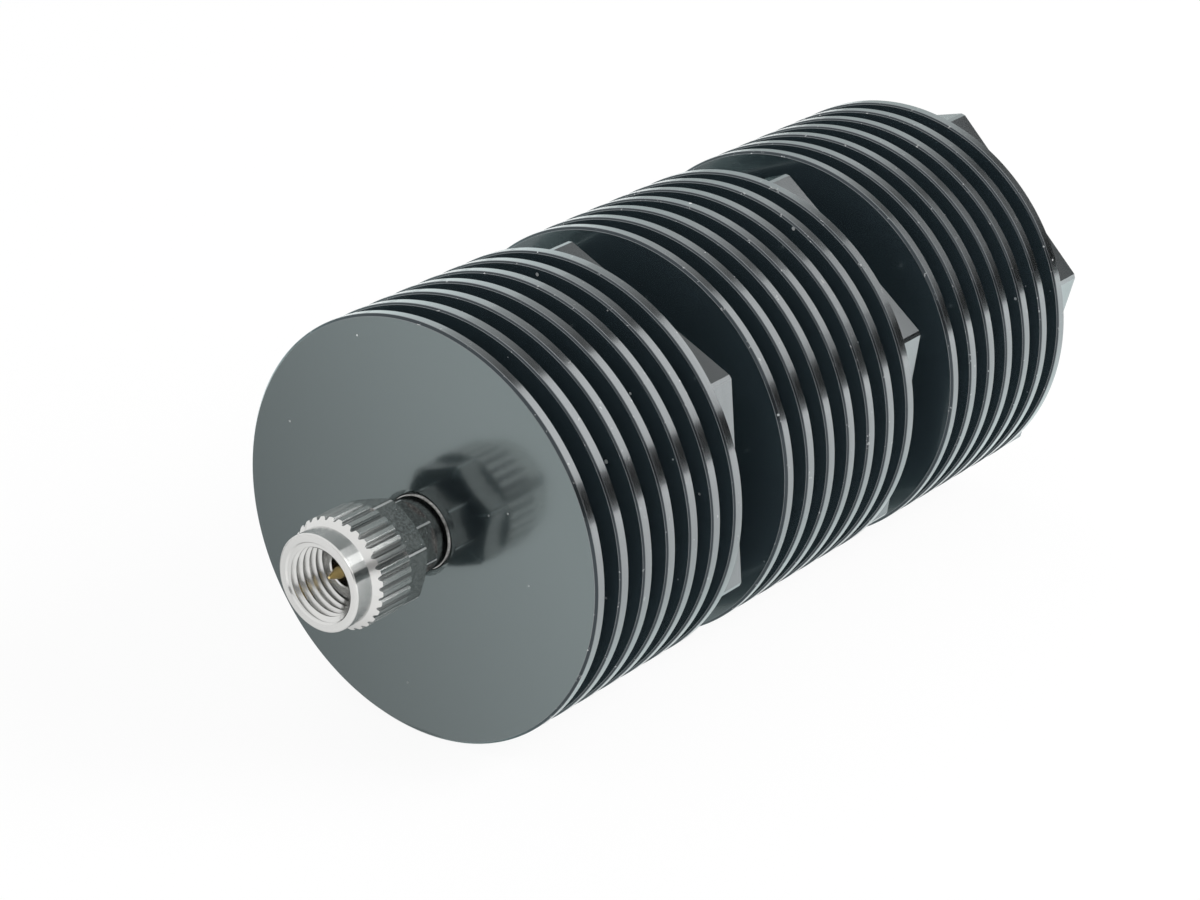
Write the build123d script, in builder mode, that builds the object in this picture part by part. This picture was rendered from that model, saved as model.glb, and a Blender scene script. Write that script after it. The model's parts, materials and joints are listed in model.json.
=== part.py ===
from build123d import *
import os

os.makedirs("parts", exist_ok=True)

# A finned coaxial attenuator in millimetres. The line's axis is Y, the input end looks along -Y
# and the origin is on the axis, halfway between the two connectors' ends.

# Clearances between pieces
slide_fit = 0.02
running_fit = 0.05
nut_play = 0.15
thread_end_gap = 0.2

# Radiators: three turned housings, screwed end to end, each with round fins and a wrench collar
stages = ("front", "middle", "rear")
fin_diameter = 35.0
fin_thickness = 0.925
fin_pitch = 2.885
fin_count = 7
fin_root_diameter = 20.0
face_edge = 0.2
collar_length = 2.55
collar_across_flats = 30.5
collar_edge = 0.15
collar_turns = (34.2, 21.2, 14.2)
stage_gap = 3.5
neck_diameter = 19.0
joint_thread_diameter = 16.0
joint_thread_length = 4.0
end_wall = 4.0

# The line inside: split cores that clamp the cards, with link discs between them
core_diameter = 13.0
channel_width = 4.0
channel_height = 2.8
card_width = 5.0
card_thickness = 0.6
card_end_gap = 0.2
link_disc_thickness = 3.2

# The coaxial line's own sizes
air_line_diameter = 2.92
air_pin_diameter = 1.27
card_line_diameter = 3.8
card_contact_diameter = 1.64
bead_neck_diameter = 1.0
bead_length = 1.8
grip_length = 1.6
mating_pin_diameter = 0.927
contact_recess = 0.05

# Connector bodies where they sit in the end walls
hole_diameter = 7.0
hole_depth = 1.0
flange_diameter = 6.3
flange_recess = 0.15
flange_edge = 0.15
shank_diameter = 5.8
shank_length = 1.25
body_thread_diameter = 5.5
bead_step = 1.0
thread_diameter = 6.35
edge_break = 0.1

# Input connector: coupling nut, its ring, and the shell that is also the outer conductor
nut_standoff = 3.5
nut_hex_length = 2.3
nut_hex_across_flats = 8.0
nut_hex_corner_diameter = 8.95
nut_hex_turn = 18.0
nut_hex_bevel = 0.3
knurl_length = 3.75
knurl_diameter = 9.03
knurl_bevel = 0.57
knurl_count = 32
knurl_groove_radius = 0.22
nose_length = 1.65
nose_diameter = 7.86
nose_edge = 0.15
mouth_chamfer = 0.115
nut_thread_length = 4.5
nut_relief_length = 0.6
nut_relief_diameter = 6.6
journal_diameter = 5.24
ring_thickness = 0.45
ring_setback = 1.25
ring_groove_depth = 0.28
ring_overlap = 0.33
ring_gap_width = 1.8
plug_recess = 3.0
plug_diameter = 4.56
plug_length = 1.5
pin_reach = 1.8
pin_cone_length = 1.05
pin_tip_diameter = 0.24
shell_hex_across_flats = 5.5
shell_hex_corner_diameter = 6.1
shell_hex_turn = 41.0

# Output connector: female shell with an outer thread, and its slotted socket
output_hex_across_flats = 7.0
output_hex_corner_diameter = 7.8
output_hex_length = 2.1
output_hex_turn = 20.0
output_relief_diameter = 5.5
output_relief_length = 0.9
output_thread_length = 6.6
output_thread_chamfer = 0.35
output_mouth_diameter = 4.64
output_mouth_depth = 1.9
socket_depth = 2.6
socket_slit = 0.12
socket_edge = 0.06

# Radii, from the sizes above
fin_radius = fin_diameter / 2
joint_radius = joint_thread_diameter / 2
bore_radius = core_diameter / 2
core_radius = bore_radius - slide_fit
air_radius = air_line_diameter / 2
air_pin_radius = air_pin_diameter / 2
card_line_radius = card_line_diameter / 2
contact_radius = card_contact_diameter / 2
bead_neck_radius = bead_neck_diameter / 2
mating_pin_radius = mating_pin_diameter / 2
hole_radius = hole_diameter / 2
flange_radius = flange_diameter / 2
shank_radius = shank_diameter / 2
body_thread_radius = body_thread_diameter / 2
thread_radius = thread_diameter / 2
journal_radius = journal_diameter / 2
knurl_radius = knurl_diameter / 2
nose_radius = nose_diameter / 2

# Places along the line, which is centred on the origin
stage_length = (fin_count - 1) * fin_pitch + fin_thickness + collar_length
stage_step = stage_length + stage_gap
body_length = (len(stages) - 1) * stage_step + stage_length
nut_reach = nut_standoff + nut_hex_length + knurl_length + nose_length
output_reach = shank_length - flange_recess + output_hex_length
output_reach += output_relief_length + output_thread_length
front_face = nut_reach - (nut_reach + body_length + output_reach) / 2
rear_face = front_face + body_length

stack_start = front_face + end_wall
stack_end = rear_face - end_wall
link_count = len(stages) - 1
core_length = (stack_end - stack_start - link_count * link_disc_thickness) / len(stages)
core_step = core_length + link_disc_thickness

nut_back = front_face - nut_standoff
nut_hex_front = nut_back - nut_hex_length
knurl_front = nut_hex_front - knurl_length
nut_front = knurl_front - nose_length
plug_front = nut_front + plug_recess
ring_back = nut_back - ring_setback
ring_front = ring_back - ring_thickness


def across(y):
    """The plane square to the line at y, with its x along X, its y along Z and facing -Y."""
    return Plane.XZ.offset(-y)


def grip_slots(front, back):
    """Card slots to cut from the two ends of a contact, as one solid kept outside the part."""
    slot_height = card_thickness + 2 * slide_fit
    slots = Part()
    for y in (front, back):
        slot = Box(card_width, 2 * grip_length, slot_height, mode=Mode.PRIVATE)
        slots += Pos(0, y, 0) * slot
    return slots


# Radiators
for stage, name in enumerate(stages):
    face = front_face + stage * stage_step
    back = face + stage_length
    is_first = stage == 0
    is_last = stage == len(stages) - 1

    with BuildPart() as radiator:
        with BuildSketch(Plane.XY):
            with BuildLine():
                Polyline(
                    (0, face),
                    (fin_radius - face_edge, face),
                    (fin_radius, face + face_edge),
                    (fin_radius, back),
                    (0, back),
                    close=True,
                )
            make_face()
        revolve(axis=Axis.Y)

        # Wrench flats behind the last fin, which leave a narrow round land at each corner
        with BuildSketch(across(back)):
            Circle(fin_diameter)
            RegularPolygon(
                collar_across_flats / 2,
                6,
                major_radius=False,
                rotation=collar_turns[stage],
                mode=Mode.SUBTRACT,
            )
        extrude(amount=collar_length, mode=Mode.SUBTRACT)
        back_face = radiator.faces().sort_by(Axis.Y)[-1]
        chamfer(back_face.outer_wire().edges(), length=collar_edge)

        # Grooves between the fins
        groove_width = fin_pitch - fin_thickness
        with BuildSketch(Plane.XY):
            for gap in range(fin_count - 1):
                with Locations((fin_root_diameter / 2, face + fin_thickness + gap * fin_pitch)):
                    Rectangle(fin_radius, groove_width, align=(Align.MIN, Align.MIN))
        revolve(axis=Axis.Y, mode=Mode.SUBTRACT)

        # Threaded boss that screws into the radiator in front, with a neck that seats on it
        if not is_first:
            with BuildSketch(across(face)):
                Circle(neck_diameter / 2)
            extrude(amount=stage_gap)
            with BuildSketch(across(face - stage_gap)):
                Circle(joint_radius)
            extrude(amount=joint_thread_length)

        # The bore for the cores, its threaded end, and the end wall's stepped connector hole
        bore_start = face + end_wall if is_first else face - stage_gap - joint_thread_length
        bore_end = back - end_wall if is_last else back
        with BuildSketch(Plane.XY):
            with Locations((0, bore_start)):
                Rectangle(bore_radius, bore_end - bore_start, align=(Align.MIN, Align.MIN))
            if not is_last:
                with Locations((0, back)):
                    Rectangle(
                        joint_radius,
                        joint_thread_length + thread_end_gap,
                        align=(Align.MIN, Align.MAX),
                    )
            if is_first:
                with Locations((0, face)):
                    Rectangle(hole_radius, hole_depth, align=(Align.MIN, Align.MIN))
                    Rectangle(body_thread_radius, end_wall, align=(Align.MIN, Align.MIN))
            if is_last:
                with Locations((0, back)):
                    Rectangle(hole_radius, hole_depth, align=(Align.MIN, Align.MAX))
                    Rectangle(body_thread_radius, end_wall, align=(Align.MIN, Align.MAX))
        revolve(axis=Axis.Y, mode=Mode.SUBTRACT)

    radiator.part.label = f"{name}_radiator"
    export_step(radiator.part, f"parts/{name}_radiator.step")

# Split cores: two halves that meet on the plane of the card and hold it by its long edges
for stage, name in enumerate(stages):
    core_front = stack_start + stage * core_step
    with BuildPart() as core:
        with BuildSketch(across(core_front + core_length)):
            Circle(core_radius)
            Rectangle(channel_width, channel_height, mode=Mode.SUBTRACT)
            Rectangle(card_width, card_thickness, mode=Mode.SUBTRACT)
        extrude(amount=core_length)

    with BuildPart() as core_upper:
        add(core.part)
        split(bisect_by=Plane.XY, keep=Keep.TOP)
    core_upper.part.label = f"{name}_core_upper"
    export_step(core_upper.part, f"parts/{name}_core_upper.step")

    with BuildPart() as core_lower:
        add(core.part)
        split(bisect_by=Plane.XY, keep=Keep.BOTTOM)
    core_lower.part.label = f"{name}_core_lower"
    export_step(core_lower.part, f"parts/{name}_core_lower.step")

    with BuildPart() as card:
        with BuildSketch(across(core_front + core_length - card_end_gap)):
            Rectangle(card_width, card_thickness)
        extrude(amount=core_length - 2 * card_end_gap)
    card.part.label = f"{name}_card"
    export_step(card.part, f"parts/{name}_card.step")

# Links between the cards: a disc, the bead in it, and a contact slotted at both ends
for link in range(link_count):
    name = stages[link]
    disc_front = stack_start + core_length + link * core_step
    disc_back = disc_front + link_disc_thickness
    disc_middle = (disc_front + disc_back) / 2
    bead_front = disc_middle - bead_length / 2
    bead_back = disc_middle + bead_length / 2

    with BuildPart() as link_disc:
        with BuildSketch(across(disc_back)):
            Circle(core_radius)
            Circle(card_line_radius, mode=Mode.SUBTRACT)
        extrude(amount=link_disc_thickness)
    link_disc.part.label = f"{name}_link_disc"
    export_step(link_disc.part, f"parts/{name}_link_disc.step")

    with BuildPart() as link_bead:
        with BuildSketch(across(bead_back)):
            Circle(card_line_radius)
            Circle(bead_neck_radius, mode=Mode.SUBTRACT)
        extrude(amount=bead_length)
    link_bead.part.label = f"{name}_link_bead"
    export_step(link_bead.part, f"parts/{name}_link_bead.step")

    contact_front = disc_front - grip_length
    contact_back = disc_back + grip_length
    with BuildPart() as link_contact:
        with BuildSketch(Plane.XY):
            with BuildLine():
                Polyline(
                    (0, contact_front),
                    (contact_radius, contact_front),
                    (contact_radius, bead_front),
                    (bead_neck_radius, bead_front),
                    (bead_neck_radius, bead_back),
                    (contact_radius, bead_back),
                    (contact_radius, contact_back),
                    (0, contact_back),
                    close=True,
                )
            make_face()
        revolve(axis=Axis.Y)
        add(grip_slots(contact_front, contact_back), mode=Mode.SUBTRACT)
    link_contact.part.label = f"{name}_link_contact"
    export_step(link_contact.part, f"parts/{name}_link_contact.step")

# Input shell: the plug that meets the other connector, the nut's journal, wrench flats, a plain
# shank, the flange sunk in the radiator's hole and the thread behind it
shell_hex_front = nut_back + nut_play
flange_front = front_face + flange_recess
shell_hex_back = flange_front - shank_length
ring_seat_radius = journal_radius - ring_groove_depth
bead_front = front_face - bead_step
bead_back = bead_front + bead_length
with BuildPart() as input_shell:
    with BuildSketch(Plane.XY):
        with BuildLine():
            Polyline(
                (air_radius, plug_front + edge_break),
                (air_radius + edge_break, plug_front),
                (plug_diameter / 2 - edge_break, plug_front),
                (plug_diameter / 2, plug_front + edge_break),
                (plug_diameter / 2, plug_front + plug_length),
                (journal_radius, plug_front + plug_length),
                (journal_radius, ring_front - slide_fit),
                (ring_seat_radius, ring_front - slide_fit),
                (ring_seat_radius, ring_back + slide_fit),
                (journal_radius, ring_back + slide_fit),
                (journal_radius, shell_hex_front),
                (shell_hex_corner_diameter / 2, shell_hex_front),
                (shell_hex_corner_diameter / 2, shell_hex_back),
                (shank_radius, shell_hex_back),
                (shank_radius, flange_front),
                (flange_radius - flange_edge, flange_front),
                (flange_radius, flange_front + flange_edge),
                (flange_radius, front_face + hole_depth),
                (body_thread_radius, front_face + hole_depth),
                (body_thread_radius, stack_start),
                (card_line_radius, stack_start),
                (card_line_radius, bead_front),
                (air_radius, bead_front),
                close=True,
            )
        make_face()
    revolve(axis=Axis.Y)
    with BuildSketch(across(shell_hex_back)):
        Circle(fin_radius)
        RegularPolygon(
            shell_hex_across_flats / 2,
            6,
            major_radius=False,
            rotation=shell_hex_turn,
            mode=Mode.SUBTRACT,
        )
    extrude(amount=shell_hex_back - shell_hex_front, mode=Mode.SUBTRACT)
input_shell.part.label = "input_shell"
export_step(input_shell.part, "parts/input_shell.step")

# Input bead
with BuildPart() as input_bead:
    with BuildSketch(across(bead_back)):
        Circle(card_line_radius)
        Circle(bead_neck_radius, mode=Mode.SUBTRACT)
    extrude(amount=bead_length)
input_bead.part.label = "input_bead"
export_step(input_bead.part, "parts/input_bead.step")

# Input pin, from its conical tip to the slot that grips the first card
pin_shoulder = plug_front + contact_recess
pin_tip = plug_front - pin_reach
pin_back = stack_start + grip_length
with BuildPart() as input_pin:
    with BuildSketch(Plane.XY):
        with BuildLine():
            Polyline(
                (0, pin_tip),
                (pin_tip_diameter / 2, pin_tip),
                (mating_pin_radius, pin_tip + pin_cone_length),
                (mating_pin_radius, pin_shoulder),
                (air_pin_radius, pin_shoulder),
                (air_pin_radius, bead_front),
                (bead_neck_radius, bead_front),
                (bead_neck_radius, bead_back),
                (contact_radius, bead_back),
                (contact_radius, pin_back),
                (0, pin_back),
                close=True,
            )
        make_face()
    revolve(axis=Axis.Y)
    with BuildSketch(across(pin_back)):
        Rectangle(card_width, card_thickness + 2 * slide_fit)
    extrude(amount=grip_length, mode=Mode.SUBTRACT)
input_pin.part.label = "input_pin"
export_step(input_pin.part, "parts/input_pin.step")

# Open ring that keeps the coupling nut on the shell
with BuildPart() as nut_snap_ring:
    with BuildSketch(across(ring_back)):
        Circle(journal_radius + ring_overlap)
        Circle(ring_seat_radius, mode=Mode.SUBTRACT)
        with Locations((0, -journal_radius)):
            Rectangle(ring_gap_width, journal_radius, mode=Mode.SUBTRACT)
    extrude(amount=ring_thickness)
nut_snap_ring.part.label = "nut_snap_ring"
export_step(nut_snap_ring.part, "parts/nut_snap_ring.step")

# Coupling nut: smooth nose, straight knurl and hexagon outside, thread and ring groove inside
nut_thread_back = nut_front + nut_thread_length
nut_relief_back = nut_thread_back + nut_relief_length
nut_bore_radius = journal_radius + running_fit
nut_groove_radius = journal_radius + ring_overlap + 2 * running_fit
nut_groove_front = ring_front - 2 * running_fit
nut_groove_back = ring_back + 2 * running_fit
nut_hex_radius = nut_hex_corner_diameter / 2
with BuildPart() as coupling_nut:
    with BuildSketch(Plane.XY):
        with BuildLine():
            Polyline(
                (thread_radius + mouth_chamfer, nut_front),
                (nose_radius - nose_edge, nut_front),
                (nose_radius, nut_front + nose_edge),
                (nose_radius, knurl_front),
                (knurl_radius, knurl_front + knurl_bevel),
                (knurl_radius, nut_hex_front),
                (nut_hex_radius, nut_hex_front),
                (nut_hex_radius, nut_back - nut_hex_bevel),
                (nut_hex_across_flats / 2, nut_back),
                (nut_bore_radius, nut_back),
                (nut_bore_radius, nut_groove_back),
                (nut_groove_radius, nut_groove_back),
                (nut_groove_radius, nut_groove_front),
                (nut_bore_radius, nut_groove_front),
                (nut_bore_radius, nut_relief_back),
                (nut_relief_diameter / 2, nut_relief_back),
                (nut_relief_diameter / 2, nut_thread_back),
                (thread_radius, nut_thread_back),
                (thread_radius, nut_front + mouth_chamfer),
                close=True,
            )
        make_face()
    revolve(axis=Axis.Y)

    # Straight knurl of round-bottomed grooves
    with BuildSketch(across(nut_hex_front)):
        with PolarLocations(knurl_radius, knurl_count):
            Circle(knurl_groove_radius)
    extrude(amount=knurl_length, mode=Mode.SUBTRACT)

    # Hexagon
    with BuildSketch(across(nut_back)):
        Circle(knurl_diameter)
        RegularPolygon(
            nut_hex_across_flats / 2,
            6,
            major_radius=False,
            rotation=nut_hex_turn,
            mode=Mode.SUBTRACT,
        )
    extrude(amount=nut_hex_length, mode=Mode.SUBTRACT)
coupling_nut.part.label = "coupling_nut"
export_step(coupling_nut.part, "parts/coupling_nut.step")

# Output shell: sunk flange, shank, wrench flats, relief and outer thread, with a mouth for a plug
output_flange_back = rear_face - flange_recess
output_hex_front = output_flange_back + shank_length
output_hex_back = output_hex_front + output_hex_length
output_thread_front = output_hex_back + output_relief_length
output_end = output_thread_front + output_thread_length
output_reference = output_end - output_mouth_depth
output_bead_back = rear_face + bead_step
output_bead_front = output_bead_back - bead_length
with BuildPart() as output_shell:
    with BuildSketch(Plane.XY):
        with BuildLine():
            Polyline(
                (card_line_radius, stack_end),
                (body_thread_radius, stack_end),
                (body_thread_radius, rear_face - hole_depth),
                (flange_radius, rear_face - hole_depth),
                (flange_radius, output_flange_back - flange_edge),
                (flange_radius - flange_edge, output_flange_back),
                (shank_radius, output_flange_back),
                (shank_radius, output_hex_front),
                (output_hex_corner_diameter / 2, output_hex_front),
                (output_hex_corner_diameter / 2, output_hex_back),
                (output_relief_diameter / 2, output_hex_back),
                (output_relief_diameter / 2, output_thread_front),
                (thread_radius, output_thread_front),
                (thread_radius, output_end - output_thread_chamfer),
                (thread_radius - output_thread_chamfer, output_end),
                (output_mouth_diameter / 2 + edge_break, output_end),
                (output_mouth_diameter / 2, output_end - edge_break),
                (output_mouth_diameter / 2, output_reference),
                (air_radius, output_reference),
                (air_radius, output_bead_back),
                (card_line_radius, output_bead_back),
                close=True,
            )
        make_face()
    revolve(axis=Axis.Y)
    with BuildSketch(across(output_hex_back)):
        Circle(fin_radius)
        RegularPolygon(
            output_hex_across_flats / 2,
            6,
            major_radius=False,
            rotation=output_hex_turn,
            mode=Mode.SUBTRACT,
        )
    extrude(amount=output_hex_length, mode=Mode.SUBTRACT)
output_shell.part.label = "output_shell"
export_step(output_shell.part, "parts/output_shell.step")

# Output bead
with BuildPart() as output_bead:
    with BuildSketch(across(output_bead_back)):
        Circle(card_line_radius)
        Circle(bead_neck_radius, mode=Mode.SUBTRACT)
    extrude(amount=bead_length)
output_bead.part.label = "output_bead"
export_step(output_bead.part, "parts/output_bead.step")

# Output contact, from the slot that grips the last card to its slotted socket
socket_end = output_reference - contact_recess
output_contact_front = stack_end - grip_length
with BuildPart() as output_contact:
    with BuildSketch(Plane.XY):
        with BuildLine():
            Polyline(
                (0, output_contact_front),
                (contact_radius, output_contact_front),
                (contact_radius, output_bead_front),
                (bead_neck_radius, output_bead_front),
                (bead_neck_radius, output_bead_back),
                (air_pin_radius, output_bead_back),
                (air_pin_radius, socket_end - socket_edge),
                (air_pin_radius - socket_edge, socket_end),
                (mating_pin_radius, socket_end),
                (mating_pin_radius, socket_end - socket_depth),
                (0, socket_end - socket_depth),
                close=True,
            )
        make_face()
    revolve(axis=Axis.Y)
    with BuildSketch(across(socket_end)):
        Rectangle(card_width, socket_slit)
        Rectangle(socket_slit, card_width)
    extrude(amount=socket_depth, mode=Mode.SUBTRACT)
    with BuildSketch(across(output_contact_front + grip_length)):
        Rectangle(card_width, card_thickness + 2 * slide_fit)
    extrude(amount=grip_length, mode=Mode.SUBTRACT)
output_contact.part.label = "output_contact"
export_step(output_contact.part, "parts/output_contact.step")
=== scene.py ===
import json
from functools import partial
from math import acos, ceil, cos, pi, radians, sin

import bmesh
import bpy
from bpy.props import FloatProperty, FloatVectorProperty, IntProperty, PointerProperty
from mathutils import Matrix, Vector


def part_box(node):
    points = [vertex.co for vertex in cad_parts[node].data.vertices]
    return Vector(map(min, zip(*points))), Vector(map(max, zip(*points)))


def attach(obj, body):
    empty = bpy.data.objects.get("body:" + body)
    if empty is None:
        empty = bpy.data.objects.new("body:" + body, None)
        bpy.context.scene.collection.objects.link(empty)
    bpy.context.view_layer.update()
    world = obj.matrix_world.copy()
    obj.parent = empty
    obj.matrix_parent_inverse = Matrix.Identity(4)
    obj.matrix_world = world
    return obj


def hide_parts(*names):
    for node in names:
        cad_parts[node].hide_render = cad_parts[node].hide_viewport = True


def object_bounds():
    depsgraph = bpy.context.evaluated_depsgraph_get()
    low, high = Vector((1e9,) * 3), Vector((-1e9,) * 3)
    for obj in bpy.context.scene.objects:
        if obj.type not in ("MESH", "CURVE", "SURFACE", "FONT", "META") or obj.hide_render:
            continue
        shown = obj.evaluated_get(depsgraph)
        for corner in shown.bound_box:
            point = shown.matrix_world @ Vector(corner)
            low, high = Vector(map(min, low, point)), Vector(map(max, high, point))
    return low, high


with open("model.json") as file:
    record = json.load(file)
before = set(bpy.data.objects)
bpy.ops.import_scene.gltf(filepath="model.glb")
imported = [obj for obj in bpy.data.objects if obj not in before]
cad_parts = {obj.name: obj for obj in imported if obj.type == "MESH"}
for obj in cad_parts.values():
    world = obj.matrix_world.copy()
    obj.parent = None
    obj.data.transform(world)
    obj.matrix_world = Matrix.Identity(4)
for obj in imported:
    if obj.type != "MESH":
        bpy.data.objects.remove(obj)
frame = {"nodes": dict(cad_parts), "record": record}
cad_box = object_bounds()

bl_info = {
    "name": "Finned coaxial attenuator",
    "version": (1, 0, 0),
    "blender": (4, 5, 0),
    "location": "View3D > Sidebar > Attenuator",
    "description": "Dresses the packed attenuator: radiators, connectors, finishes and a studio",
    "category": "Object",
}

MM = 0.001
SAME_PLACE = 0.001 * MM
SIXTH = radians(60)
# Width of the painted highlight along each hexagon corner
CORNER_HIGHLIGHT_ANGLE = radians(1.2)
STAGES = ("front", "middle", "rear")

# Places along the line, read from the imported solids
RADIATOR_BACKS = [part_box(f"{stage}_radiator")[1].y for stage in STAGES]
FRONT_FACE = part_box("front_radiator")[0].y
REAR_FACE = RADIATOR_BACKS[-1]
NUT_FRONT, NUT_BACK = (corner.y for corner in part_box("coupling_nut"))
SHELL_FRONT, SHELL_BACK = (corner.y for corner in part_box("input_shell"))
PIN_TIP, PIN_BACK = (corner.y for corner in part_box("input_pin"))
OUTPUT_FRONT, OUTPUT_END = (corner.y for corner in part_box("output_shell"))
FIN_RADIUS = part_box("front_radiator")[1].x


def length(name, description, value):
    """A size that the user may change, in metres."""
    kind = {"unit": "LENGTH", "subtype": "DISTANCE", "precision": 4}
    return FloatProperty(name=name, description=description, default=value, min=0, **kind)


def colour(name, description, value):
    """A linear colour that the user may change."""
    return FloatVectorProperty(
        name=name, description=description, default=value, min=0, max=1, subtype="COLOR"
    )


class RadiatorSizes(bpy.types.PropertyGroup):
    fin_diameter: length("Fin diameter", "Outside of the round fins", 2 * FIN_RADIUS)
    fin_thickness: length("Fin thickness", "Thickness of each fin", 0.925 * MM)
    fin_pitch: length("Fin pitch", "From one fin's front to the next one's", 2.885 * MM)
    root_diameter: length("Root diameter", "Bottom of the grooves", 20 * MM)
    face_edge: length("Face edge", "Chamfer on the first fin's front", 0.2 * MM)
    fin_edge: length("Fin edge", "Chamfer on the front of the other fins", 0.14 * MM)
    # The burr's bright line is a painted highlight: a strip in the rims' lighter colour
    burr: length("Burr", "Bright line where a chamfer meets a face", 0.03 * MM)
    collar_length: length("Collar length", "Wrench collar behind the fins", 2.55 * MM)
    collar_across_flats: length("Collar across flats", "Wrench size of the collar", 30.5 * MM)
    collar_edge: length("Collar edge", "Chamfer on the collar's back", 0.15 * MM)
    neck_diameter: length("Neck diameter", "Seat between two radiators", 19 * MM)
    fin_count: IntProperty(name="Fins", description="Fins on each radiator", default=7, min=2)


class ConnectorSizes(bpy.types.PropertyGroup):
    thread_diameter: length("Thread diameter", "Of the coupling thread", 6.35 * MM)
    thread_pitch: length("Thread pitch", "Of the coupling thread", 25.4 / 36 * MM)
    thread_depth: length("Thread depth", "From crest to root", 0.36 * MM)
    nut_across_flats: length("Nut across flats", "Wrench size of the nut", 8 * MM)
    knurl_diameter: length("Knurl diameter", "Outside of the nut's knurl", 9.03 * MM)
    knurl_groove_radius: length("Knurl groove radius", "Of each round groove", 0.22 * MM)
    nose_diameter: length("Nose diameter", "Smooth ring at the nut's mouth", 7.86 * MM)
    knurl_count: IntProperty(name="Knurl grooves", description="Round the nut", default=32)


class FinishColours(bpy.types.PropertyGroup):
    anodised_face: colour("Anodised face", "Turned faces", (0.011, 0.016, 0.020))
    # Painted light: the grooves' colour is lifted well above the faces'
    anodised_groove: colour("Anodised groove", "Between the fins", (0.027, 0.039, 0.047))
    anodised_bevel: colour("Anodised bevel", "Chamfers of the fins", (0.045, 0.055, 0.062))
    # Painted light: rims and flats take a lighter copy of the coat's colour
    anodised_rim: colour("Anodised rim", "Rims and wrench flats", (0.245, 0.260, 0.268))
    stainless: colour("Stainless", "Nut and connector bodies", (0.78, 0.78, 0.765))
    gold: colour("Gold", "Pins and contacts", (1.0, 0.79, 0.38))
    bronze: colour("Bronze", "Spring ring", (0.58, 0.38, 0.20))
    aluminium: colour("Aluminium", "Cores and link discs", (0.70, 0.71, 0.72))
    plastic: colour("Plastic", "Beads", (0.55, 0.47, 0.33))
    ceramic: colour("Ceramic", "Attenuator cards", (0.78, 0.77, 0.73))


class StudioSettings(bpy.types.PropertyGroup):
    floor_colour: colour("Floor", "Floor and backdrop", (0.95, 0.95, 0.95))
    room_light: FloatProperty(name="Room light", description="Soft, from all sides", default=0.42)
    panel_light: FloatProperty(name="Panel light", description="Of all the panels", default=1.55)


class AttenuatorSettings(bpy.types.PropertyGroup):
    radiators: PointerProperty(type=RadiatorSizes)
    connectors: PointerProperty(type=ConnectorSizes)
    colours: PointerProperty(type=FinishColours)
    studio: PointerProperty(type=StudioSettings)


# Node helpers


def connect(tree, value, socket):
    """Links a socket, or sets a plain value."""
    if isinstance(value, bpy.types.NodeSocket):
        tree.links.new(value, socket)
    else:
        socket.default_value = value


def add_node(tree, kind, inputs=None, **settings):
    """Adds a node, with its settings and its inputs by name or number."""
    node = tree.nodes.new(kind)
    for key, value in settings.items():
        setattr(node, key, value)
    for key, value in (inputs or {}).items():
        if isinstance(key, str):
            socket = next(s for s in node.inputs if s.enabled and s.name == key)
        else:
            socket = node.inputs[key]
        connect(tree, value, socket)
    return node


def sum_up(tree, operation, *values, clamp=False):
    """One Math node's result."""
    node = tree.nodes.new("ShaderNodeMath")
    node.operation = operation
    node.use_clamp = clamp
    for value, socket in zip(values, node.inputs):
        connect(tree, value, socket)
    return node.outputs[0]


def spread(tree, value, low, high, start=0, end=1, **settings):
    """A value from start to end, spread from low to high and held there beyond them."""
    inputs = {0: value, 1: start, 2: end, 3: low, 4: high}
    return add_node(tree, "ShaderNodeMapRange", inputs, **settings).outputs[0]


def output(node, name=None):
    """A node's visible output, the first one if it isn't named."""
    return next(s for s in node.outputs if s.enabled and name in (None, s.name))


def new_object(name, data):
    """A new object in the scene."""
    made = bpy.data.objects.new(name, data)
    bpy.context.scene.collection.objects.link(made)
    return made


def new_tree(name, kind, inputs, outputs):
    """A node group with named sockets, each given by its socket type or its default number."""
    tree = bpy.data.node_groups.new(name, kind)
    for in_out, sockets in (("INPUT", inputs), ("OUTPUT", outputs)):
        for label, given in sockets.items():
            is_type = isinstance(given, str)
            socket_type = given if is_type else f"NodeSocket{type(given).__name__.title()}"
            socket = tree.interface.new_socket(label, in_out=in_out, socket_type=socket_type)
            if not is_type:
                socket.default_value = given
    start = tree.nodes.new("NodeGroupInput")
    end = tree.nodes.new("NodeGroupOutput")
    return tree, start.outputs, end.inputs


# Turned pieces

TURNED_SIZES = {
    "Steps Round": 192,
    "Start Angle": 0.0,
    "Land Angle": radians(15),
    "Land Share": 0.5,
    "Hexagon Across Flats": 0.01,
    "Hexagon Corner Angle": 0.0,
    "Knurl Radius": 0.01,
    "Knurl Groove Radius": 0.0,
    "Knurl Count": 32,
    "Thread Start": 0.0,
    "Thread End": 0.01,
    "Thread Pitch": 0.001,
    "Thread Root Radius": 0.01,
    "Thread Crest Radius": 0.01,
    "Crest Share": 0.14,
    "Root Share": 0.86,
    "Sharp Angle": radians(14),
}


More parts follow.
